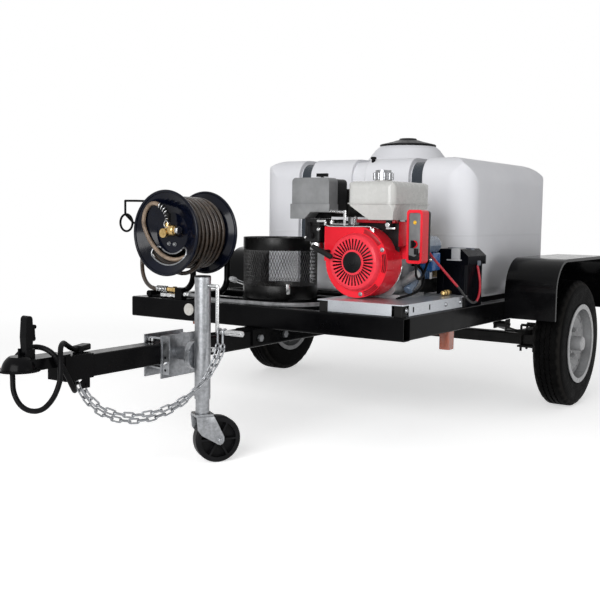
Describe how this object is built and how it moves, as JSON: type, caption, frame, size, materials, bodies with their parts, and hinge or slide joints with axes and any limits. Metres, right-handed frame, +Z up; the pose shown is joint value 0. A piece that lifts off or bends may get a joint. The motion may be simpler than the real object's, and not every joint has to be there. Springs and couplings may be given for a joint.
{
  "type": "trailer-mounted pressure washer",
  "caption": "Single-axle trailer carrying a poly water tank, a petrol engine with pump, a hose reel and a jack wheel.",
  "frame": {"origin": "under the middle of the overall length, on the ground and the trailer's centre line", "axes": "+X to the trailer's rear, +Y to its right-hand side, +Z up"},
  "size_m": [2.94, 1.642, 1.1473],
  "materials": {
    "black_paint": "gloss",
    "zinc_steel": "satin",
    "black_rubber": "matte",
    "black_plastic": "satin",
    "tyre_rubber": "matte",
    "rim_paint": "gloss",
    "lamp_plastic": "gloss",
    "white_plastic": "satin",
    "strap_web": "matte",
    "plate_aluminium": "satin",
    "cast_aluminium": "matte",
    "flywheel_iron": "matte",
    "red_paint": "gloss",
    "cream_paint": "gloss",
    "grey_plastic": "satin",
    "muffler_steel": "matte",
    "blue_paint": "satin",
    "brass": "satin",
    "hose_brown": "satin",
    "hose_tan": "satin",
    "hose_grey": "satin",
    "cable_red": "satin"
  },
  "bodies": {
    "trailer": {"side_rails": "black_paint", "cross_beams": "black_paint", "tongue_beam": "black_paint", "frame_bolts": "zinc_steel", "coupler_body": "black_paint", "safety_chains": "zinc_steel", "lead_loop": "black_rubber", "lead_plug": "black_plastic", "jack_bracket": "zinc_steel", "axle_beam": "black_paint", "leaf_springs": "black_paint", "spring_hardware": "black_paint", "fenders": "black_paint", "lamps": "lamp_plastic", "water_tank": "white_plastic", "tank_straps": "strap_web", "engine_plate": "plate_aluminium", "isolators": "black_rubber", "crankcase": "cast_aluminium", "fan_shroud": "red_paint", "recoil_cover": "red_paint", "fuel_tank": "cream_paint", "air_cleaner": "black_plastic", "air_cover": "grey_plastic", "carburettor": "cast_aluminium", "muffler": "muffler_steel", "control_box": "red_paint", "starter_motor": "blue_paint", "pump_body": "blue_paint", "pump_head": "brass", "battery_box": "black_plastic", "battery_cable": "cable_red", "basket": "black_paint", "reel_stand": "black_paint", "supply_hose": "hose_grey", "hose_tail": "hose_brown", "hose_coupler": "brass"},
    "left_wheel": {"left_tyre": "tyre_rubber", "left_rim": "rim_paint"},
    "right_wheel": {"right_tyre": "tyre_rubber", "right_rim": "rim_paint"},
    "coupler_latch": {"coupler_latch": "black_paint"},
    "jack": {"jack_tube": "zinc_steel"},
    "jack_leg": {"jack_leg": "zinc_steel"},
    "jack_crank": {"jack_crank": "zinc_steel"},
    "jack_pin": {"jack_pin": "zinc_steel"},
    "caster_fork": {"caster_fork": "zinc_steel"},
    "caster_wheel": {"caster_wheel": "black_plastic"},
    "tank_lid": {"tank_lid": "black_plastic"},
    "fuel_cap": {"fuel_cap": "grey_plastic"},
    "recoil_handle": {"recoil_handle": "black_plastic"},
    "key_switch": {"key_switch": "black_plastic"},
    "throttle_lever": {"throttle_lever": "zinc_steel"},
    "choke_lever": {"choke_lever": "black_plastic"},
    "crankshaft": {"flywheel": "flywheel_iron"},
    "reel": {"reel_drum": "black_paint", "reel_hose": "hose_brown", "reel_jumper": "hose_tan", "reel_swivel": "brass"}
  },
  "joints": [
    {"name": "left_wheel_roll", "type": "hinge", "parent": "trailer", "child": "left_wheel", "pos_m": [0.849, -0.7475, 0.2665], "axis": [0, 1, 0], "continuous": true},
    {"name": "right_wheel_roll", "type": "hinge", "parent": "trailer", "child": "right_wheel", "pos_m": [0.849, 0.7475, 0.2665], "axis": [0, 1, 0], "continuous": true},
    {"name": "coupler_latch_lift", "type": "hinge", "parent": "trailer", "child": "coupler_latch", "pos_m": [-1.387, 0, 0.412], "axis": [0, 1, 0], "range_deg": [0, 30]},
    {"name": "jack_swivel", "type": "hinge", "parent": "trailer", "child": "jack", "pos_m": [-0.806, -0.13, 0.345], "axis": [0, 1, 0], "range_deg": [0, 90], "deforming": ["safety_chains"]},
    {"name": "jack_crank_turn", "type": "hinge", "parent": "jack", "child": "jack_crank", "pos_m": [-0.806, -0.13, 0.568], "axis": [0, 1, 0], "range_deg": [-2520, 4320], "deforming": ["safety_chains"]},
    {"name": "jack_extend", "type": "slide", "parent": "jack", "child": "jack_leg", "axis": [0, 0, -1], "range_m": [-0.035, 0.06]},
    {"name": "caster_swivel", "type": "hinge", "parent": "jack_leg", "child": "caster_fork", "pos_m": [-0.806, -0.13, 0.16], "axis": [0, 0, 1], "continuous": true},
    {"name": "caster_roll", "type": "hinge", "parent": "caster_fork", "child": "caster_wheel", "pos_m": [-0.76529, -0.15544, 0.075], "axis": [0.5299, 0.848, 0], "continuous": true},
    {"name": "jack_pin_pull", "type": "slide", "parent": "jack", "child": "jack_pin", "axis": [0, -1, 0], "range_m": [0, 0.012], "stiffness_N_per_m": 600},
    {"name": "tank_lid_lift", "type": "slide", "parent": "trailer", "child": "tank_lid", "axis": [0, 0, 1], "range_m": [0, 0.15]},
    {"name": "fuel_cap_turn", "type": "hinge", "parent": "trailer", "child": "fuel_cap", "pos_m": [-0.153, -0.402, 0.925], "axis": [0, 0, 1], "range_deg": [0, 90]},
    {"name": "recoil_pull", "type": "slide", "parent": "trailer", "child": "recoil_handle", "axis": [-1, 0, 0], "range_m": [0, 0.09], "stiffness_N_per_m": 150},
    {"name": "key_turn", "type": "hinge", "parent": "trailer", "child": "key_switch", "pos_m": [-0.223, -0.565, 0.699], "axis": [1, 0, 0], "range_deg": [0, 60]},
    {"name": "throttle_turn", "type": "hinge", "parent": "trailer", "child": "throttle_lever", "pos_m": [-0.229, -0.3, 0.761], "axis": [0, 0, 1], "range_deg": [-15, 30]},
    {"name": "choke_turn", "type": "hinge", "parent": "trailer", "child": "choke_lever", "pos_m": [-0.255, -0.162, 0.7203], "axis": [1, 0, 0], "range_deg": [-30, 30]},
    {"name": "crankshaft_turn", "type": "hinge", "parent": "trailer", "child": "crankshaft", "pos_m": [-0.051, -0.357, 0.631], "axis": [1, 0, 0], "continuous": true},
    {"name": "reel_turn", "type": "hinge", "parent": "trailer", "child": "reel", "pos_m": [-0.227, 0.458, 0.715], "axis": [1, 0, 0], "continuous": true}
  ],
  "couplings": [
    {"joint": "jack_extend", "follows": "jack_crank_turn", "m_per_rad": 0.00079577}
  ]
}
